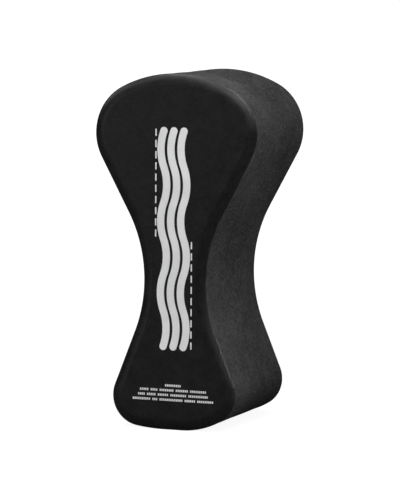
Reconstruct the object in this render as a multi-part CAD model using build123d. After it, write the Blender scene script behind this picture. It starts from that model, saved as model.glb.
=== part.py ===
from build123d import *

import math
import os

# A swimmer's pull buoy: an hourglass float of closed-cell foam, standing on its small end.
# +Z runs from the small end up to the large end, the front face looks towards -Y, and the
# origin is the middle of the foot. All sizes are in millimetres and all angles in degrees.

HEIGHT = 240.0
THICKNESS = 98.0
FRONT = -THICKNESS / 2
BACK = THICKNESS / 2

# The outline, from the crown down to the foot. Each arc meets the next arc or a straight
# flank at a tangent, so these sizes fix every point of it.
CROWN_RADIUS = 85.0
SHOULDER_RADIUS = 35.0
SHOULDER_HALF_WIDTH = 58.0
WAIST_RADIUS = 95.5
WAIST_HALF_WIDTH = 22.5
WAIST_HEIGHT = 100.8
TOE_RADIUS = 20.3

# The small end is not quite even. Left of the middle the sole stays nearly flat out to the
# toe, and right of it the sole curves up sooner. Each reach is counted out from the middle.
LEFT_FOOT_REACH = 8.0
LEFT_SOLE_RADIUS = 125.0
LEFT_TOE_REACH = 45.0
RIGHT_FOOT_REACH = 5.0
RIGHT_SOLE_RADIUS = 56.0
RIGHT_TOE_REACH = 44.0

# The two face sheets. Each is pressed down along its rim to a thin trimmed edge.
SHEET_THICKNESS = 4.0
RIM_DROP = 3.2
RIM_INSET = 7.0
RIM_BLEND_RADIUS = 9.0

# The print is a thin film on the front face. The large graphic is a set of waves that run up
# the face, with a broken line beside its upper half and another beside its lower half.
FILM_THICKNESS = 0.12
GRAPHIC_MIDDLE = 129.3
GRAPHIC_LENGTH = 150.0
WAVES = 3
WAVE_PITCH = 7.2
WAVE_WIDTH = 5.2
WAVE_SWINGS = 6
WAVE_LEAN = 20.0
LINE_OFFSET = 12.9
LINE_WIDTH = 0.9
LINE_DASH = 5.0
LINE_DASHES = 10

# The small print is rows of short upright ticks, in groups with a tick left out between them.
# Each row is centred on the face.
ROW_TOP = 30.5
ROW_PITCH = 3.25
TICK_HEIGHT = 1.5
TICK_WIDTH = 0.85
TICK_PITCH = 1.3
TICK_GROUPS = (
    (9,),
    (5, 4, 8, 7, 9),
    (4, 5, 6, 9, 11),
    (10, 3, 13, 6, 9),
)


def point_at(centre, radius, angle):
    """The point a radius away from a centre, with the angle counted up from the first axis."""
    turn = math.radians(angle)
    return centre[0] + radius * math.cos(turn), centre[1] + radius * math.sin(turn)


def flank_angle(lobe, lobe_radius, waist):
    """The direction from a lobe's centre to the point where its straight flank leaves it.

    The flank touches the lobe's circle on one side and the waist's circle on the other. So the
    cosine of the angle between the flank's normal and the line of centres is the sum of the
    radii over the distance of the centres. Of the two such lines, the flank is the steeper.
    """
    across = waist[0] - lobe[0]
    along = waist[1] - lobe[1]
    lean = math.degrees(math.acos((lobe_radius + WAIST_RADIUS) / math.hypot(across, along)))
    line_of_centres = math.degrees(math.atan2(along, across))
    return line_of_centres - math.copysign(lean, along)


def lean_angle(half_width, start, small_radius, large_radius):
    """How far a large arc turns before a small one takes over to reach a half width."""
    return math.degrees(math.asin((half_width - start - small_radius) / (large_radius - small_radius)))


def half_outline(foot_reach, sole_radius, toe_reach):
    """Half of the outline, drawn on the right of the middle, from the foot up to the crown."""
    toe_lean = lean_angle(toe_reach, foot_reach, TOE_RADIUS, sole_radius)
    crown_lean = lean_angle(SHOULDER_HALF_WIDTH, 0, SHOULDER_RADIUS, CROWN_RADIUS)
    sole = (foot_reach, sole_radius)
    crown = (0, HEIGHT - CROWN_RADIUS)
    waist = (WAIST_HALF_WIDTH + WAIST_RADIUS, WAIST_HEIGHT)
    toe = point_at(sole, sole_radius - TOE_RADIUS, toe_lean - 90)
    shoulder = point_at(crown, CROWN_RADIUS - SHOULDER_RADIUS, 90 - crown_lean)
    low = flank_angle(toe, TOE_RADIUS, waist)
    high = flank_angle(shoulder, SHOULDER_RADIUS, waist)
    with BuildLine() as half:
        Line((0, 0), (foot_reach, 0))
        CenterArc(sole, sole_radius, -90, toe_lean)
        CenterArc(toe, TOE_RADIUS, toe_lean - 90, low + 90 - toe_lean)
        Line(point_at(toe, TOE_RADIUS, low), point_at(waist, WAIST_RADIUS, low + 180))
        CenterArc(waist, WAIST_RADIUS, low + 180, high - low)
        Line(point_at(waist, WAIST_RADIUS, high + 180), point_at(shoulder, SHOULDER_RADIUS, high))
        CenterArc(shoulder, SHOULDER_RADIUS, high, 90 - crown_lean - high)
        CenterArc(crown, CROWN_RADIUS, 90 - crown_lean, crown_lean)
    return half.line


def hourglass():
    """The outline of the float: the right half, and the left half turned over to its own side."""
    left = half_outline(LEFT_FOOT_REACH, LEFT_SOLE_RADIUS, LEFT_TOE_REACH)
    with BuildSketch() as sketch:
        with BuildLine():
            add(half_outline(RIGHT_FOOT_REACH, RIGHT_SOLE_RADIUS, RIGHT_TOE_REACH))
            add(mirror(left, about=Plane.YZ))
        make_face()
    return sketch.sketch


def slab(flat, front, back):
    """A flat shape given depth, from its front plane to its back plane."""
    return extrude(Plane.XZ.offset(-back) * flat, back - front)


def front_face_sheet(shape):
    """The smooth front sheet. Its rim slopes back from a soft bend to the thin trimmed edge."""
    sheet = slab(shape, FRONT, FRONT + SHEET_THICKNESS)
    face = sheet.faces().sort_by(Axis.Y)[0]
    sheet = chamfer(face.edges(), length=RIM_INSET, length2=RIM_DROP, reference=face)
    face = sheet.faces().sort_by(Axis.Y)[0]
    return fillet(face.edges(), RIM_BLEND_RADIUS)


def wave():
    """One wave band along +Y: equal arcs that swing to the right and to the left in turn."""
    chord = (GRAPHIC_LENGTH - WAVE_WIDTH) / WAVE_SWINGS
    radius = chord / 2 / math.sin(math.radians(WAVE_LEAN))
    with BuildSketch() as band:
        with BuildLine():
            for swing in range(WAVE_SWINGS):
                side = 1 if swing % 2 else -1
                middle = (swing + 0.5 - WAVE_SWINGS / 2) * chord
                centre = (side * radius * math.cos(math.radians(WAVE_LEAN)), middle)
                towards = 90 + 90 * side
                CenterArc(centre, radius, towards + side * WAVE_LEAN, -2 * side * WAVE_LEAN)
            offset(amount=WAVE_WIDTH / 2)
        make_face()
    return band.sketch


def front_graphic():
    """The large print: the wave bands side by side and the two broken lines."""
    middle = Pos(0, GRAPHIC_MIDDLE)
    band = wave()
    islands = [middle * Pos((place - (WAVES - 1) / 2) * WAVE_PITCH, 0) * band for place in range(WAVES)]
    step = GRAPHIC_LENGTH / 2 / LINE_DASHES
    dash = SlotOverall(LINE_DASH, LINE_WIDTH, rotation=90)
    for place in range(LINE_DASHES):
        along = (place + 0.5) * step
        islands.append(middle * Pos(-LINE_OFFSET, along) * dash)
        islands.append(middle * Pos(LINE_OFFSET, -along) * dash)
    return islands


def print_row(groups):
    """One row of small print: groups of ticks in line, with the row centred on the face."""
    places = sum(groups) + len(groups) - 1
    tick = Rectangle(TICK_WIDTH, TICK_HEIGHT)
    islands = []
    place = 0
    for group in groups:
        for _ in range(group):
            islands.append(Pos((place - (places - 1) / 2) * TICK_PITCH, 0) * tick)
            place += 1
        place += 1
    return islands


def film(islands):
    """Flat islands of print as thin separate solids that lie on the front face."""
    return Compound(children=[slab(island, FRONT - FILM_THICKNESS, FRONT) for island in islands])


def main():
    shape = hourglass()
    front = front_face_sheet(shape)
    parts = {
        "core_block": slab(shape, FRONT + SHEET_THICKNESS, BACK - SHEET_THICKNESS),
        "front_face_sheet": front,
        "back_face_sheet": mirror(front, about=Plane.XZ),
        "front_graphic": film(front_graphic()),
    }
    for place, groups in enumerate(TICK_GROUPS):
        row = Pos(0, ROW_TOP - place * ROW_PITCH)
        parts[f"print_row_{place + 1}"] = film([row * island for island in print_row(groups)])
    os.makedirs("parts", exist_ok=True)
    for name, shape in parts.items():
        export_step(shape, f"parts/{name}.step")


main()
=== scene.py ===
# %% [markdown]
# # A swimmer's pull buoy
# A pull buoy is an hourglass float that a swimmer grips between the thighs. This one has three
# foam pieces. A thick core is cut to the hourglass, so its wall shows open, torn cells. Two
# smooth-skinned sheets close the faces, and each is pressed down along its rim to a thin edge
# that is trimmed flush with the core. A thin film of light-grey print lies on the front.
#
# The CAD model comes in as a fixed frame. Its box and its nodes say where everything goes.

import math

import bpy
import numpy as np
from mathutils import Matrix, Vector


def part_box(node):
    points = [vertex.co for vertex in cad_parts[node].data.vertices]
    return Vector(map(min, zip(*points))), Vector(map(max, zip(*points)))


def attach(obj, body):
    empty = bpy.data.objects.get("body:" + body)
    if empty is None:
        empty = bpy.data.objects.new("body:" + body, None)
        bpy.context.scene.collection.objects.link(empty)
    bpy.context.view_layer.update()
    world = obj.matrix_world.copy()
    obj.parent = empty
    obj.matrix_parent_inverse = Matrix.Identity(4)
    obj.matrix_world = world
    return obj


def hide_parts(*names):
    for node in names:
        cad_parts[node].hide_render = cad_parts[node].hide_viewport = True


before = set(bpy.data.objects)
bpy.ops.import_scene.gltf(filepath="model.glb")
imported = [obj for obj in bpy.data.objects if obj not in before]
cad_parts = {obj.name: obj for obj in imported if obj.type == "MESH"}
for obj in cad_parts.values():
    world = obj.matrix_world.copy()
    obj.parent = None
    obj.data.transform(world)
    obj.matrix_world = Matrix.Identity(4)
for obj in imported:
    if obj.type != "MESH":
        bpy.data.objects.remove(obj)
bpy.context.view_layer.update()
core_low, core_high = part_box("core_block")
front_low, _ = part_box("front_face_sheet")
height = core_high.z

# %% [markdown]
# ## The outline
# Seen from the front, the float is a chain of round stretches: the crown, the shoulder, the
# waist, the toe and the nearly flat sole. Each one meets the next at a tangent, either directly
# or through a straight flank. A chain like that could be drawn as a Bezier curve, but its
# handles hide the radii. Here each stretch is an arc with its own centre, so the outline is
# exactly the one that the foam is cut to. Each half is worked out as if it lay on the right, and
# the left one is then turned over. Only the sole differs: on the right it curves up sooner.

# %% Radii and reaches of the outline, in metres
CROWN_RADIUS = 0.085
SHOULDER_RADIUS = 0.035
SHOULDER_HALF_WIDTH = core_high.x
WAIST_RADIUS = 0.0955
WAIST_HALF_WIDTH = 0.0225
WAIST_HEIGHT = 0.1008
TOE_RADIUS = 0.0203
LEFT_FOOT_REACH, LEFT_SOLE_RADIUS, LEFT_TOE_REACH = 0.008, 0.125, 0.045
RIGHT_FOOT_REACH, RIGHT_SOLE_RADIUS, RIGHT_TOE_REACH = 0.005, 0.056, 0.044
ARC_POINTS = 400


def point_at(centre, radius, angle):
    """The centre plus the radius times (cosine, sine) of the angle, for one angle or for many."""
    return np.stack([centre[0] + radius * np.cos(angle), centre[1] + radius * np.sin(angle)], axis=-1)


def arc(centre, radius, start, end):
    """Points along a circle while the angle runs evenly from start to end, in radians."""
    return point_at(centre, radius, np.linspace(start, end, ARC_POINTS))


def flank_angle(lobe, lobe_radius, waist):
    """The angle at which a straight flank leaves a lobe's circle to touch the waist's circle.

    The flank crosses the line of centres, so the cosine of the angle between its normal and
    that line is the sum of the two radii over the distance of the centres.
    """
    across, along = waist[0] - lobe[0], waist[1] - lobe[1]
    lean = math.acos((lobe_radius + WAIST_RADIUS) / math.hypot(across, along))
    return math.atan2(along, across) - math.copysign(lean, along)


def half_outline(foot_reach, sole_radius, toe_reach):
    """Half of the outline from the middle of the crown to the middle of the foot, as (x, z)."""
    crown = (0, height - CROWN_RADIUS)
    crown_lean = math.asin((SHOULDER_HALF_WIDTH - SHOULDER_RADIUS) / (CROWN_RADIUS - SHOULDER_RADIUS))
    shoulder_start = math.pi / 2 - crown_lean
    shoulder = point_at(crown, CROWN_RADIUS - SHOULDER_RADIUS, shoulder_start)
    waist = (WAIST_HALF_WIDTH + WAIST_RADIUS, WAIST_HEIGHT)
    sole = (foot_reach, sole_radius)
    toe_end = math.asin((toe_reach - foot_reach - TOE_RADIUS) / (sole_radius - TOE_RADIUS)) - math.pi / 2
    toe = point_at(sole, sole_radius - TOE_RADIUS, toe_end)
    high = flank_angle(shoulder, SHOULDER_RADIUS, waist)
    low = flank_angle(toe, TOE_RADIUS, waist)
    return np.concatenate([
        arc(crown, CROWN_RADIUS, math.pi / 2, shoulder_start),
        arc(shoulder, SHOULDER_RADIUS, shoulder_start, high),
        arc(waist, WAIST_RADIUS, high + math.pi, low + math.pi),
        arc(toe, TOE_RADIUS, low, toe_end),
        arc(sole, sole_radius, toe_end, -math.pi / 2),
        [(0, 0)],
    ])


print("waist:", WAIST_HALF_WIDTH * 2000, "mm wide,", WAIST_HEIGHT * 1000, "mm up")

# %% Even steps round the outline, with the outward direction at each step
AROUND = 720


def even_steps(path, count):
    """Points at equal distances along a path, from its first point to its last.

    The lengths of the path's steps are added up, and both coordinates are read off at even
    shares of that length.
    """
    step = np.hypot(*np.diff(path, axis=0).T)
    along = np.concatenate([[0], np.cumsum(step)])
    at = np.linspace(0, along[-1], count)
    return np.stack([np.interp(at, along, path[:, axis]) for axis in (0, 1)], axis=1)


right = even_steps(half_outline(RIGHT_FOOT_REACH, RIGHT_SOLE_RADIUS, RIGHT_TOE_REACH), AROUND // 2 + 1)
left = even_steps(half_outline(LEFT_FOOT_REACH, LEFT_SOLE_RADIUS, LEFT_TOE_REACH), AROUND // 2 + 1)
outline = np.concatenate([right, (left * (-1, 1))[-2:0:-1]])
heading = np.roll(outline, -1, axis=0) - np.roll(outline, 1, axis=0)
outward = np.stack([-heading[:, 1], heading[:, 0]], axis=1)
outward /= np.linalg.norm(outward, axis=1)[:, None]
opposite = -np.arange(AROUND) % AROUND  # the step on the other half that is as far from the crown
perimeter = np.hypot(*(np.roll(outline, -1, axis=0) - outline).T).sum()
print("outline:", AROUND, "points,", round(perimeter * 1000, 1), "mm round")

# %% [markdown]
# ## Closed skins over the outline
# Every foam piece is a closed skin made of rings. A ring is the outline, moved inwards by an
# inset and set at a depth. Near the rim the rings follow the outline, and further in they close
# up on a spine in the middle of the face, where the left and the right half share their points.
# So a piece is one grid: round the outline one way, and from the front spine over the rim to the
# back spine the other way. An extruded curve with a bevel would be quicker, but its caps are
# single faces with no points inside, and its rim is always a round.

# %% Rings and skins
SPINE_LOW = 0.024
SPINE_HIGH = 0.186
CLOSING_INSET = 0.010
CLOSING_RINGS = 9


def ring(inset, depth):
    """One ring: the outline less the outward direction times the inset, at a depth along Y."""
    flat = outline - outward * np.reshape(inset, (-1, 1))
    return np.stack([flat[:, 0], np.broadcast_to(depth, AROUND), flat[:, 1]], axis=1)


def closing_rings(depth):
    """Rings on a flat face, from the closing inset in to the spine: a straight blend of the two."""
    edge = ring(CLOSING_INSET, depth)
    level = edge[:, 2] + edge[opposite, 2]
    share = (level - level.min()) / np.ptp(level)
    spine = np.stack([0 * share, edge[:, 1], SPINE_LOW + (SPINE_HIGH - SPINE_LOW) * share], axis=1)
    steps = np.linspace(0, 1, CLOSING_RINGS)[:, None, None]
    return list(edge + (spine - edge) * steps)


def skin_mesh(name, rings):
    """A closed mesh over the rings. Ring r and step k make point r * AROUND + k, quads join
    neighbours, and on the first and last ring step k and its opposite are one point.

    A closed skin whose faces point inwards has a negative volume, so its quads are turned round.
    """
    points = np.concatenate(rings)
    number = np.arange(len(points)).reshape(-1, AROUND)
    for end in (0, -1):
        number[end] = np.minimum(number[end], number[end][opposite])
    used, number = np.unique(number, return_inverse=True)
    number = number.reshape(-1, AROUND)
    following = np.roll(number, -1, axis=1)
    quads = np.stack([number[:-1], following[:-1], following[1:], number[1:]], axis=-1).reshape(-1, 4)
    points = points[used]
    a, b, c, d = (points[quads[:, corner]] for corner in range(4))
    volume = (np.cross(c - a, d - b) * (a + b + c + d)).sum() / 24
    if volume < 0:
        quads = quads[:, ::-1]
    mesh = bpy.data.meshes.new(name)
    mesh.from_pydata(points.tolist(), [], quads.tolist())
    mesh.shade_smooth()
    print(f"{name}: {len(points)} points, {abs(volume) * 1e6:.1f} ml")
    return mesh


def add_piece(name, mesh, node):
    """Puts a mesh in the scene as the foam piece that stands for a CAD node, which it hides."""
    piece = bpy.data.objects.new(name, mesh)
    bpy.context.scene.collection.objects.link(piece)
    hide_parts(node)
    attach(piece, "root")
    return piece


# %% [markdown]
# ## The face sheets
# The mould presses the sheet's rim down. The face stays flat to a clear line, bends over it, and
# runs down to the trimmed edge, where less than a millimetre of foam is left. A bevel would give
# an even round. Here the drop is an even slope plus a part that grows with the cube of the way
# across the rim, so the rim falls away faster and faster towards the trimmed edge, and only a
# small round softens the corner there.

# %% The rim's profile and the two sheets
RIM_INSET = 0.007
RIM_DROP = 0.0032
RIM_EVEN_DROP = 0.0013
RIM_STEEP_POWER = 3
RIM_RINGS = 26
CORNER_ROUND = 0.0005
CORNER_RINGS = 5
FACE_GAPS = (0.002, 0.001, 0.0004)
JOINT_GAPS = (0.0006, 0.002, 0.006)


def rim_drop(inset):
    """How far the face has dropped at an inset. With the share of the rim that is crossed, which is
    (1 - inset / rim inset), it is an even slope plus the rest of the drop times a power of it."""
    crossed = np.clip(1 - inset / RIM_INSET, 0, 1)
    return RIM_EVEN_DROP * crossed + (RIM_DROP - RIM_EVEN_DROP) * crossed**RIM_STEEP_POWER


def corner(inset_from, depth_from, inset_to, depth_to, bend):
    """Rings over a small round corner, as a curve that leaves and arrives along its two sides.

    With a share t of the way, the start weighs (1 - t) squared, the bend 2 t (1 - t) and the
    end t squared.
    """
    share = np.linspace(0, 1, CORNER_RINGS)
    first, last, middle = (1 - share) ** 2, share**2, 2 * share * (1 - share)
    insets = first * inset_from + last * inset_to + middle * bend[0]
    depths = first * depth_from + last * depth_to + middle * bend[1]
    return [ring(inset, depth) for inset, depth in zip(insets, depths)]


def face_sheet(side):
    """The rings of a face sheet. Side is -1 for the front sheet and 1 for the back one."""
    face = side * core_high.y + side * (core_low.y - front_low.y)
    joint = side * core_high.y
    edge_drop = rim_drop(CORNER_ROUND)
    insets = CORNER_ROUND + (RIM_INSET - CORNER_ROUND) * np.linspace(1, 0, RIM_RINGS)
    rings = closing_rings(face)[::-1]
    rings += [ring(RIM_INSET + gap, face) for gap in FACE_GAPS]
    rings += [ring(inset, face - side * rim_drop(inset)) for inset in insets[:-1]]
    rings += corner(CORNER_ROUND, face - side * edge_drop, 0, face - side * (RIM_DROP + CORNER_ROUND),
                    (0, face - side * RIM_DROP))
    rings += corner(0, joint + side * CORNER_ROUND, CORNER_ROUND, joint, (0, joint))
    rings += [ring(gap, joint) for gap in JOINT_GAPS]
    rings += closing_rings(joint)
    return rings


front_mesh = skin_mesh("front_sheet_skin", face_sheet(-1))
back_mesh = skin_mesh("back_sheet_skin", face_sheet(1))
front_sheet = add_piece("front_sheet_skin", front_mesh, "front_face_sheet")
back_sheet = add_piece("back_sheet_skin", back_mesh, "back_face_sheet")

# %% [markdown]
# ## The core
# The core is sawn from a block, so its wall is straight from front to back, but foam never cuts
# quite flat. Slow, shallow waves in the wall give the light something to play on. A Displace
# modifier could add them, but it would move the corners as well. Here they are part of the rings
# and fade out before the wall's edges.

# %% The core's wall
WALL_RINGS = 60
WALL_WAVE = 0.00006
WALL_WAVES = ((9, 2.1, 0.0), (23, -4.3, 1.0), (41, 7.7, 2.0))  # times round, turn with depth, start
CORNER_CLEARANCE = 3 * CORNER_ROUND


def wall_wave(depth):
    """How far the wall stands proud at each step: sine waves round the outline and along the depth.

    They fade out towards both faces, so the wall's corners stay true.
    """
    turn = 2 * math.pi * np.arange(AROUND) / AROUND
    along = depth / core_high.y
    waves = sum(np.sin(times * turn + lean * along + start) for times, lean, start in WALL_WAVES)
    return WALL_WAVE * waves * (1 - along**4)


def core_rings():
    """The rings of the core: front face, corner, wall, corner and back face."""
    front, back = core_low.y, core_high.y
    deepest = WALL_WAVE * len(WALL_WAVES)
    rings = closing_rings(front)[::-1]
    rings += [ring(gap, front) for gap in JOINT_GAPS[::-1]]
    rings += corner(CORNER_ROUND, front, 0, front + CORNER_ROUND, (0, front))
    depths = np.linspace(front + CORNER_CLEARANCE, back - CORNER_CLEARANCE, WALL_RINGS)
    rings += [ring(deepest - wall_wave(depth), depth) for depth in depths]
    rings += corner(0, back - CORNER_ROUND, CORNER_ROUND, back, (0, back))
    rings += [ring(gap, back) for gap in JOINT_GAPS]
    rings += closing_rings(back)
    return rings


core_mesh = skin_mesh("foam_core", core_rings())
foam_core = add_piece("foam_core", core_mesh, "core_block")

# %% [markdown]
# ## Node groups for foam
# Foam looks like foam because of its cells. Under a moulded skin they show as a fine orange
# peel, and on a cut wall they lie open, as pits with thin walls between them. An image texture
# would need a UV map and would blur close up. Noise worked out from the object's own coordinates
# has the same grain on every side and never repeats. Each effect is a group, so that the skin,
# the cut wall and the print can share it, each with its own sizes. All sizes are in metres.

# %% Helpers that lay out nodes
def node(tree, kind, sockets, **settings):
    """One shader node. Each of its sockets takes a plain value or the output of another node."""
    made = tree.nodes.new("ShaderNode" + kind)
    for name, value in settings.items():
        setattr(made, name, value)
    for name, value in sockets.items():
        if isinstance(value, bpy.types.NodeSocket):
            tree.links.new(value, made.inputs[name])
        else:
            made.inputs[name].default_value = value
    return made


def calculate(tree, operation, first, second=0.0):
    """The output of a Math node that works on two values."""
    return node(tree, "Math", {0: first, 1: second}, operation=operation).outputs[0]


def spread(tree, value, low, high, to_low, to_high):
    """A value from one range spread smoothly over another, and held at its ends."""
    sockets = {"Value": value, "From Min": low, "From Max": high, "To Min": to_low, "To Max": to_high}
    return node(tree, "MapRange", sockets, interpolation_type="SMOOTHSTEP").outputs["Result"]


def blend(tree, share, first, second):
    """A colour that goes from the first to the second as the share goes from 0 to 1."""
    first, second = (colour if isinstance(colour, bpy.types.NodeSocket) else (*colour, 1)
                     for colour in (first, second))
    return node(tree, "Mix", {0: share, 6: first, 7: second}, data_type="RGBA").outputs[2]


def new_group(name, inputs, outputs):
    """An empty group with number sockets. It returns the tree, its inputs and its outputs."""
    tree = bpy.data.node_groups.new(name, "ShaderNodeTree")
    for title, value in inputs.items():
        socket = tree.interface.new_socket(title, in_out="INPUT", socket_type="NodeSocketFloat")
        socket.default_value = value
    for title in outputs:
        tree.interface.new_socket(title, in_out="OUTPUT", socket_type="NodeSocketFloat")
    taken = tree.nodes.new("NodeGroupInput").outputs
    given = tree.nodes.new("NodeGroupOutput").inputs
    return tree, taken, given


def use_group(tree, group, **sizes):
    """A group placed in a tree with its own sizes. It returns the group's outputs."""
    placed = tree.nodes.new("ShaderNodeGroup")
    placed.node_tree = group
    for title, value in sizes.items():
        placed.inputs[title].default_value = value
    return placed.outputs


# %% [markdown]
# ## Closed cells
# Blown foam is a packing of closed cells, each a little bubble. Where the skin covers them they
# show as orange peel, and where a blade has cut them they are open pits of uneven depth. A Voronoi
# texture has just that layout: every point belongs to the nearest cell. The distance to the
# cell's middle gives the pit, and the cell's own random colour gives its depth and its tint.

# %% Closed cells
CELL_RANDOMNESS = 0.9
PIT_FLOOR, PIT_WALL = 0.1, 0.7  # where a pit's wall starts and ends, as a share of the cell size
SHALLOWEST_PIT = 0.35
FUZZ_FINENESS = 2.3
FUZZ_HEIGHT = 0.5


def cells_group():
    """Closed cells: how high the surface stands in each pit, and a tint that each cell keeps.

    The height is 1 less the pit's own depth times how near its middle is, plus a finer fuzz.
    """
    tree, taken, given = new_group("foam_cells", {"Size": 0.0006}, ("Height", "Tint"))
    place = node(tree, "TexCoord", {}).outputs["Object"]
    scale = calculate(tree, "DIVIDE", 1.0, taken["Size"])
    pits = node(tree, "TexVoronoi", {"Vector": place, "Scale": scale, "Randomness": CELL_RANDOMNESS})
    fuzz_scale = calculate(tree, "MULTIPLY", scale, FUZZ_FINENESS)
    fuzz = node(tree, "TexNoise", {"Vector": place, "Scale": fuzz_scale, "Detail": 2.0}).outputs["Fac"]
    own = node(tree, "SeparateColor", {"Color": pits.outputs["Color"]}).outputs[0]
    deep = spread(tree, own, 0.0, 1.0, SHALLOWEST_PIT, 1.0)
    wall = spread(tree, pits.outputs["Distance"], PIT_FLOOR, PIT_WALL, 0.0, 1.0)
    low = calculate(tree, "MULTIPLY", calculate(tree, "SUBTRACT", 1.0, wall), deep)
    level = calculate(tree, "SUBTRACT", 1.0, low)
    rough = calculate(tree, "MULTIPLY", fuzz, FUZZ_HEIGHT)
    tree.links.new(calculate(tree, "ADD", level, rough), given["Height"])
    tree.links.new(calculate(tree, "SUBTRACT", own, 0.5), given["Tint"])
    return tree


foam_cells = cells_group()
print("closed cells:", len(foam_cells.nodes), "nodes")

# %% [markdown]
# ## Patches
# Foam cools unevenly, so it is a little denser and darker in some places than in others. Noise
# with a few finer octaves makes soft patches like that. Vertex colours could do it too, but they
# would tie the patches to the mesh.

# %% Patches
CLOUD_RANGE = (0.3, 0.7)  # the part of the noise that is spread over the whole range


def clouds_group():
    """Slow, soft patches from -1 to 1, as foam has where its density changes a little."""
    tree, taken, given = new_group("foam_clouds", {"Size": 0.01}, ("Clouds",))
    place = node(tree, "TexCoord", {}).outputs["Object"]
    scale = calculate(tree, "DIVIDE", 1.0, taken["Size"])
    noise = node(tree, "TexNoise", {"Vector": place, "Scale": scale, "Detail": 3.0, "Roughness": 0.6})
    tree.links.new(spread(tree, noise.outputs["Fac"], *CLOUD_RANGE, -1.0, 1.0), given["Clouds"])
    return tree


foam_clouds = clouds_group()
print("patches:", len(foam_clouds.nodes), "nodes")

# %% [markdown]
# ## Worn edges with a painted glint
# A trimmed edge takes the knocks, so a thin line along it is worn paler, here more and there
# less. The same pale line is also a painted highlight: it stands in for the glint of light along
# the sharp trimmed edge. Blender can find edges by their curvature, but that needs a fine mesh.
# This float's edges all lie at one depth, in front and behind, so the distance to that depth is
# enough.

# %% Worn edges with a painted glint
WEAR_GLINT_PATCHES_PER_METRE = 180.0
WEAR_GLINT_RANGE = (0.35, 0.65)
LEAST_WEAR_GLINT = 0.45


def edge_group():
    """A pale band beside a trimmed edge, which lies at one depth on both sides, in patches: partly
    wear, and partly a painted glint of light along the edge.
    """
    tree, taken, given = new_group("wear_and_glint_edge", {"Depth": 0.045, "Width": 0.001}, ("Wear and glint",))
    place = node(tree, "TexCoord", {}).outputs["Object"]
    along = node(tree, "SeparateXYZ", {"Vector": place}).outputs["Y"]
    depth = calculate(tree, "ABSOLUTE", along)
    away = calculate(tree, "ABSOLUTE", calculate(tree, "SUBTRACT", depth, taken["Depth"]))
    near = spread(tree, calculate(tree, "DIVIDE", away, taken["Width"]), 0.0, 1.0, 1.0, 0.0)
    noise = node(tree, "TexNoise", {"Vector": place, "Scale": WEAR_GLINT_PATCHES_PER_METRE, "Detail": 2.0})
    patchy = spread(tree, noise.outputs["Fac"], *WEAR_GLINT_RANGE, LEAST_WEAR_GLINT, 1.0)
    tree.links.new(calculate(tree, "MULTIPLY", near, patchy), given["Wear and glint"])
    return tree


# The pale edge line is partly wear and partly a painted glint of light on the trimmed edge.
wear_and_glint_edge = edge_group()
print("rubbed edges:", len(wear_and_glint_edge.nodes), "nodes")

# %% [markdown]
# ## Specks
# Here and there a bit of dust or a torn cell catches the light. Scattered objects would be far
# too many. A coarse Voronoi texture gives evenly spread places instead, and only the few cells
# whose random number is low enough get a speck in their middle.

# %% Specks
SPECK_CORE, SPECK_RIM = 0.03, 0.09  # where a speck starts to fade and where it ends, per spacing


def specks_group():
    """Sparse pale specks of dust and torn skin: the middles of a few cells of a coarse pattern."""
    tree, taken, given = new_group("pale_specks", {"Spacing": 0.004, "Share": 0.1}, ("Specks",))
    place = node(tree, "TexCoord", {}).outputs["Object"]
    scale = calculate(tree, "DIVIDE", 1.0, taken["Spacing"])
    field = node(tree, "TexVoronoi", {"Vector": place, "Scale": scale})
    chosen = node(tree, "SeparateColor", {"Color": field.outputs["Color"]}).outputs[1]
    kept = calculate(tree, "LESS_THAN", chosen, taken["Share"])
    dot = spread(tree, field.outputs["Distance"], SPECK_CORE, SPECK_RIM, 1.0, 0.0)
    tree.links.new(calculate(tree, "MULTIPLY", kept, dot), given["Specks"])
    return tree


pale_specks = specks_group()
print("specks:", len(pale_specks.nodes), "nodes")

# %% [markdown]
# ## Finishes
# Every finish is one Principled shader, fed with a colour, a roughness and a relief. Foam holds
# air, which takes the edge off its reflections: the specular level is half that of a solid
# plastic. A plain dark colour would not do, because on black foam nearly everything one sees is
# gloss and grain.

# %% Helpers for finishes
FOAM_SPECULAR = 0.25
# The pale colour of the edge line and of the specks: on the edges it is partly wear and partly a painted
# glint, and in the specks it is dust.
PALE_WEAR_GLINT_AND_DUST = (0.060, 0.060, 0.061)


def new_finish(name, specular):
    """A material and its node tree, with the specular level set on its Principled shader."""
    material = bpy.data.materials.new(name)
    material.use_nodes = True
    shader = material.node_tree.nodes["Principled BSDF"]
    shader.inputs["Specular IOR Level"].default_value = specular
    return material, material.node_tree, shader


def finish_surface(tree, shader, colour, roughness, height, relief):
    """Links colour, roughness and a relief that is so many metres high to the shader."""
    bump = node(tree, "Bump", {"Height": height, "Distance": relief, "Strength": 1.0})
    tree.links.new(colour, shader.inputs["Base Color"])
    tree.links.new(roughness, shader.inputs["Roughness"])
    tree.links.new(bump.outputs["Normal"], shader.inputs["Normal"])


def shade_of(tree, patches, patch_share, tint):
    """A share from 0 to 1 between the dark and the pale foam, from slow patches and cell tints."""
    mixed = calculate(tree, "ADD", calculate(tree, "MULTIPLY", patches, patch_share), tint)
    return spread(tree, mixed, -0.5 - patch_share, 0.5 + patch_share, 0.0, 1.0)


# %% [markdown]
# ## The moulded skin
# The face sheets keep the skin from their mould: nearly black and softly glossy, with a fine
# orange peel. It mirrors a bright light as a wide sheen along the rolled rim. The gloss comes
# from the roughness alone, and the peel only breaks it up, so the relief is a hundredth of a
# millimetre.

# %% The moulded skin
SKIN_DARK = (0.0045, 0.0045, 0.0047)
SKIN_PALE = (0.0112, 0.0112, 0.0115)
SKIN_ROUGHNESS = (0.33, 0.39)
SKIN_PEEL_SIZE = 0.0009
SKIN_RELIEF = 0.00001
SKIN_PATCH_SIZE = 0.010
SKIN_PATCH_SHARE = 0.25
SKIN_WEAR_GLINT_SHARE = 0.8


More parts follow.
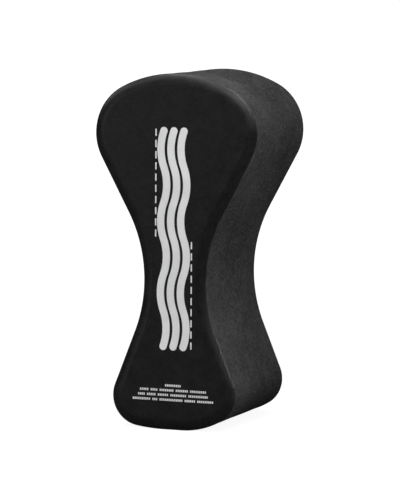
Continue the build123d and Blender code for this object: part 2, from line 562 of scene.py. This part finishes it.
def moulded_skin():
    """Nearly black skin: fine orange peel, slow patches, and a paler line at the trimmed edge, which
    is partly wear and partly a painted glint.
    """
    material, tree, shader = new_finish("moulded_skin", FOAM_SPECULAR)
    peel = use_group(tree, foam_cells, Size=SKIN_PEEL_SIZE)
    patches = use_group(tree, foam_clouds, Size=SKIN_PATCH_SIZE)["Clouds"]
    edge_depth = core_high.y + CORNER_ROUND
    # A pale line along the trimmed edge: partly wear, and partly a painted glint of light.
    wear_and_glint = use_group(tree, wear_and_glint_edge, Depth=edge_depth, Width=0.0008)["Wear and glint"]
    specks = use_group(tree, pale_specks, Spacing=0.006, Share=0.05)["Specks"]
    shade = shade_of(tree, patches, SKIN_PATCH_SHARE, peel["Tint"])
    foam = blend(tree, shade, SKIN_DARK, SKIN_PALE)
    pale = calculate(tree, "MAXIMUM", calculate(tree, "MULTIPLY", wear_and_glint, SKIN_WEAR_GLINT_SHARE), specks)
    colour = blend(tree, pale, foam, PALE_WEAR_GLINT_AND_DUST)
    roughness = spread(tree, patches, -1.0, 1.0, *SKIN_ROUGHNESS)
    finish_surface(tree, shader, colour, roughness, peel["Height"], SKIN_RELIEF)
    return material


skin = moulded_skin()
front_sheet.data.materials.append(skin)
back_sheet.data.materials.append(skin)
print("moulded skin on the two face sheets")

# %% [markdown]
# ## The cut foam
# The core's wall is the same foam, but a blade has opened its cells. They scatter light, so the
# wall looks greyer and quite matte, with a clear salt-and-pepper grain. Most of that grain is in
# the colour, from each cell's own tint, and the rest is in the relief of the open pits.

# %% The cut foam
CUT_DARK = (0.0075, 0.0075, 0.0077)
CUT_PALE = (0.0500, 0.0500, 0.0507)
CUT_ROUGHNESS = (0.66, 0.76)
CUT_CELL_SIZE = 0.0013
CUT_RELIEF = 0.0003
CUT_PATCH_SIZE = 0.008
CUT_BROAD_PATCH_SIZE = 0.030
CUT_PATCH_SHARE = 0.45
CUT_WEAR_GLINT_SHARE = 0.7


def cut_foam():
    """The cut wall: open cells, each with its own tint, under patches of two sizes, and specks, with a
    pale line at its edges that is partly wear and partly a painted glint.
    """
    material, tree, shader = new_finish("cut_foam", FOAM_SPECULAR)
    cells = use_group(tree, foam_cells, Size=CUT_CELL_SIZE)
    small = use_group(tree, foam_clouds, Size=CUT_PATCH_SIZE)["Clouds"]
    broad = use_group(tree, foam_clouds, Size=CUT_BROAD_PATCH_SIZE)["Clouds"]
    # A pale line along the wall's edges: partly wear, and partly a painted glint of light.
    wear_and_glint = use_group(tree, wear_and_glint_edge, Depth=core_high.y, Width=0.0012)["Wear and glint"]
    specks = use_group(tree, pale_specks, Spacing=0.005, Share=0.12)["Specks"]
    patches = calculate(tree, "MULTIPLY", calculate(tree, "ADD", small, broad), 0.5)
    shade = shade_of(tree, patches, CUT_PATCH_SHARE, cells["Tint"])
    foam = blend(tree, shade, CUT_DARK, CUT_PALE)
    pale = calculate(tree, "MAXIMUM", calculate(tree, "MULTIPLY", wear_and_glint, CUT_WEAR_GLINT_SHARE), specks)
    colour = blend(tree, pale, foam, PALE_WEAR_GLINT_AND_DUST)
    roughness = spread(tree, patches, -1.0, 1.0, *CUT_ROUGHNESS)
    finish_surface(tree, shader, colour, roughness, cells["Height"], CUT_RELIEF)
    return material


foam_core.data.materials.append(cut_foam())
print("cut foam on the core")

# %% [markdown]
# ## The print film
# The print is a thin transfer film, pressed onto the face while it is warm. So it follows the
# skin's peel, thins out a little in patches, and lets the black through in pinholes. The waves,
# broken lines and ticks are the CAD model's own solids, and only their material changes.

# %% The print film
FILM_DARK = (0.74, 0.74, 0.74)
FILM_PALE = (0.82, 0.82, 0.82)
FILM_SPECULAR = 0.4
FILM_ROUGHNESS = (0.46, 0.56)
FILM_PEEL_SIZE = 0.00045
FILM_RELIEF = 0.00001
FILM_PATCH_SIZE = 0.015
FILM_PATCH_SHARE = 0.7
PINHOLE_SHARE = 0.5


def print_film():
    """Light-grey film that follows the skin's peel, with pinholes and slightly thin patches."""
    material, tree, shader = new_finish("print_film", FILM_SPECULAR)
    peel = use_group(tree, foam_cells, Size=FILM_PEEL_SIZE)
    patches = use_group(tree, foam_clouds, Size=FILM_PATCH_SIZE)["Clouds"]
    pinholes = use_group(tree, pale_specks, Spacing=0.0012, Share=0.2)["Specks"]
    shade = shade_of(tree, patches, FILM_PATCH_SHARE, peel["Tint"])
    film = blend(tree, shade, FILM_DARK, FILM_PALE)
    colour = blend(tree, calculate(tree, "MULTIPLY", pinholes, PINHOLE_SHARE), film, SKIN_PALE)
    roughness = spread(tree, patches, -1.0, 1.0, *FILM_ROUGHNESS)
    finish_surface(tree, shader, colour, roughness, peel["Height"], FILM_RELIEF)
    return material


film = print_film()
printed = [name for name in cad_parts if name.startswith(("front_graphic", "print_row"))]
for name in printed:
    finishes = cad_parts[name].data.materials
    finishes.clear()
    finishes.append(film)
print("print film on:", printed)

# %% [markdown]
# ## Camera
# A long lens from two metres away keeps the float's upright lines nearly parallel, as in a
# catalogue. The camera stands to the right of the front face and a little
# above the middle of the float, so the whole front face and the right-hand wall are in view.

# %% A camera on an arm: azimuth from the front face, elevation, distance and a slight roll
CAMERA_AZIMUTH = math.radians(21.374)
CAMERA_ELEVATION = math.radians(5.689)
CAMERA_ROLL = math.radians(0.323)
CAMERA_DISTANCE = 2.083
FOCAL_LENGTH = 219.4
FARTHEST_SEEN = 200
CAMERA_TARGET = Vector((-0.00013, 0, 0.11767))


def direction(azimuth, elevation):
    """The unit vector that points up by the elevation and round by the azimuth, from -Y to +X."""
    level = math.cos(elevation)
    return Vector((math.sin(azimuth) * level, -math.cos(azimuth) * level, math.sin(elevation)))


def stand(place, away):
    """The matrix of a camera or a lamp at a place, with its back turned to the given direction."""
    return Matrix.Translation(place) @ away.to_track_quat("Z", "Y").to_matrix().to_4x4()


arm = direction(CAMERA_AZIMUTH, CAMERA_ELEVATION)
camera = bpy.data.objects.new("camera", bpy.data.cameras.new("camera"))
camera.data.lens = FOCAL_LENGTH
camera.data.clip_end = FARTHEST_SEEN
upright = stand(CAMERA_TARGET + arm * CAMERA_DISTANCE, arm)
camera.matrix_world = upright @ Matrix.Rotation(CAMERA_ROLL, 4, "Z")
bpy.context.scene.collection.objects.link(camera)
bpy.context.scene.camera = camera
print("camera at", [round(place, 3) for place in camera.matrix_world.translation])

# %% [markdown]
# ## Floor and background
# The float stands on a plain white floor that runs on out of sight. White paper under a black
# object would throw light up into the dark underside. So the floor shows bright to the camera
# only, with a soft trace of shadow, and gives little light back to the float.

# %% Floor
FLOOR_HALF = 30
PAPER_BOUNCE = 0.12
PAPER_WHITE = 0.9
PAPER_GLOW = 1.12
NEAR_GLOW_SHARE = 0.82
NEAR_REACH, FAR_REACH = 0.3, 1.2

floor_mesh = bpy.data.meshes.new("floor")
corners = [(x * FLOOR_HALF, y * FLOOR_HALF, 0) for x, y in ((-1, -1), (1, -1), (1, 1), (-1, 1))]
floor_mesh.from_pydata(corners, [], [(0, 1, 2, 3)])
floor = bpy.data.objects.new("floor", floor_mesh)
bpy.context.scene.collection.objects.link(floor)


def paper():
    """White paper: bright to the camera, and a dim grey to the light that it bounces.

    What the camera sees is mostly glow. Near the float a share of it is plain lit paper, which
    takes a soft shadow, and that share fades out with the distance from the float.
    """
    material = bpy.data.materials.new("paper")
    material.use_nodes = True
    tree = material.node_tree
    tree.nodes.clear()
    seen = tree.nodes.new("ShaderNodeLightPath").outputs["Is Camera Ray"]
    dim = node(tree, "BsdfDiffuse", {"Color": (PAPER_BOUNCE,) * 3 + (1,)})
    lit = node(tree, "BsdfDiffuse", {"Color": (PAPER_WHITE,) * 3 + (1,)})
    glow = node(tree, "Emission", {"Color": (1, 1, 1, 1), "Strength": PAPER_GLOW})
    place = node(tree, "TexCoord", {}).outputs["Object"]
    away = node(tree, "VectorMath", {0: place}, operation="LENGTH").outputs["Value"]
    share = spread(tree, away, NEAR_REACH, FAR_REACH, NEAR_GLOW_SHARE, 1.0)
    bright = node(tree, "MixShader", {0: share, 1: lit.outputs[0], 2: glow.outputs[0]})
    both = node(tree, "MixShader", {0: seen, 1: dim.outputs[0], 2: bright.outputs[0]})
    output = tree.nodes.new("ShaderNodeOutputMaterial")
    tree.links.new(both.outputs[0], output.inputs["Surface"])
    return material


floor.data.materials.append(paper())
print("floor:", 2 * FLOOR_HALF, "m across")

# %% Background: white to the camera, and only a trace of light to the float
WORLD_LIGHT = 0.01
WORLD_WHITE = 1.05

world = bpy.data.worlds.new("studio")
bpy.context.scene.world = world
world.use_nodes = True
seen = world.node_tree.nodes.new("ShaderNodeLightPath").outputs["Is Camera Ray"]
strength = spread(world.node_tree, seen, 0.0, 1.0, WORLD_LIGHT, WORLD_WHITE)
backdrop = world.node_tree.nodes["Background"]
backdrop.inputs["Color"].default_value = (1, 1, 1, 1)
world.node_tree.links.new(strength, backdrop.inputs["Strength"])
bpy.context.scene.view_settings.view_transform = "Standard"
print("background light:", WORLD_LIGHT)

# %% [markdown]
# ## Light
# Black foam is drawn by its lights more than by its colour. Broad soft lights stand all round:
# strong ones high up on both sides, and weak ones low down and behind that keep the underside and
# the far rims from going quite black. Two small ones hang close to the wall, so that it fades
# towards its back. An environment image would be less work, but its lights can't be tuned one by
# one.

# %% Soft lights all round
FAR = 1.5
WIDE, NARROW, SMALL = 0.7, 0.25, 0.05
LIGHTS = {  # azimuth and elevation in degrees, distance and size in metres, and level
    "front_top": (-11, 60, FAR, WIDE, 0.10),
    "front": (9, 38, FAR, WIDE, 0.18),
    "right_high": (41, 50, FAR, WIDE, 0.22),
    "right_key": (60, 50, FAR, NARROW, 0.07),
    "right_low": (29, 22, FAR, WIDE, 0.05),
    "right_side": (61, 32, FAR, WIDE, 0.10),
    "right_close": (80, 5, 0.14, SMALL, 0.17),
    "shoulder_close": (64, 62, 0.19, SMALL, 0.035),
    "left_high": (-64, 73, FAR, WIDE, 0.35),
    "left_low": (-36, 4, FAR, WIDE, 0.06),
    "left_side": (-76, 34, FAR, WIDE, 0.12),
    "left_front": (-44, 45, FAR, WIDE, 0.065),
    "behind_left": (-141, 14, FAR, WIDE, 0.12),
    "behind_right": (150, 20, FAR, NARROW, 0.08),
}
LIGHT_MIDDLE = Vector((0, 0, height / 2))


def power(level, distance):
    """The watts for a level of light at a distance: the level times the area of a sphere that wide."""
    return level * 4 * math.pi * distance**2


def hang(name, light, place, away):
    """Hangs a light at a place, aimed against a direction, where the camera doesn't see the lamp."""
    lamp = bpy.data.objects.new(name, light)
    lamp.matrix_world = stand(place, away)
    lamp.visible_camera = False
    bpy.context.scene.collection.objects.link(lamp)


def softbox(name, azimuth, elevation, distance, size, level):
    """A round soft light that faces the middle of the float."""
    away = direction(math.radians(azimuth), math.radians(elevation))
    light = bpy.data.lights.new(name, "AREA")
    light.shape = "DISK"
    light.size = size
    light.energy = power(level, distance)
    hang(name, light, LIGHT_MIDDLE + away * distance, away)


for name, settings in LIGHTS.items():
    softbox(name, *settings)
print("soft lights:", len(LIGHTS))

# %% [markdown]
# ## Spots along the right-hand rim
# The sheen on the rolled rim, and the bright front edge of the wall behind it, come from small
# lights that stand close. A spot with a narrow, soft-edged cone lights one stretch and leaves
# the rest alone. Each is aimed at a point on the trimmed edge. The two rim spots stand where the
# rim mirrors them towards the camera, and the others light the front edge of the wall.

# %% Spots
SPOT_DISTANCE = 0.5
SPOT_RADIUS = 0.02
TRIMMED_EDGE = -0.046
SPOTS = {  # azimuth, elevation, place on the trimmed edge as (x, z), cone in degrees, and level
    "crown_rim_spot": (41, 69, (0.030, 0.232), 10, 0.5),
    "shoulder_rim_spot": (64, 33, (0.050, 0.205), 10, 0.35),
    "crown_spot": (100, 68, (0.020, 0.238), 14, 1.15),
    "shoulder_spot": (78, 52, (0.042, 0.226), 14, 0.40),
    "waist_spot": (75, 10, (0.028, 0.080), 14, 0.27),
    "toe_spot": (70, 25, (0.042, 0.034), 14, 0.52),
    "toe_spot_low": (70, -2, (0.042, 0.024), 12, 0.55),
}


def spot(name, azimuth, elevation, place, cone, level):
    """A small light with a soft-edged cone, aimed from half a metre away at one place."""
    away = direction(math.radians(azimuth), math.radians(elevation))
    target = Vector((place[0], TRIMMED_EDGE, place[1]))
    light = bpy.data.lights.new(name, "SPOT")
    light.shadow_soft_size = SPOT_RADIUS
    light.spot_size = math.radians(cone)
    light.spot_blend = 1
    light.energy = power(level, SPOT_DISTANCE)
    hang(name, light, target + away * SPOT_DISTANCE, away)


for name, settings in SPOTS.items():
    spot(name, *settings)
print("spots:", len(SPOTS))
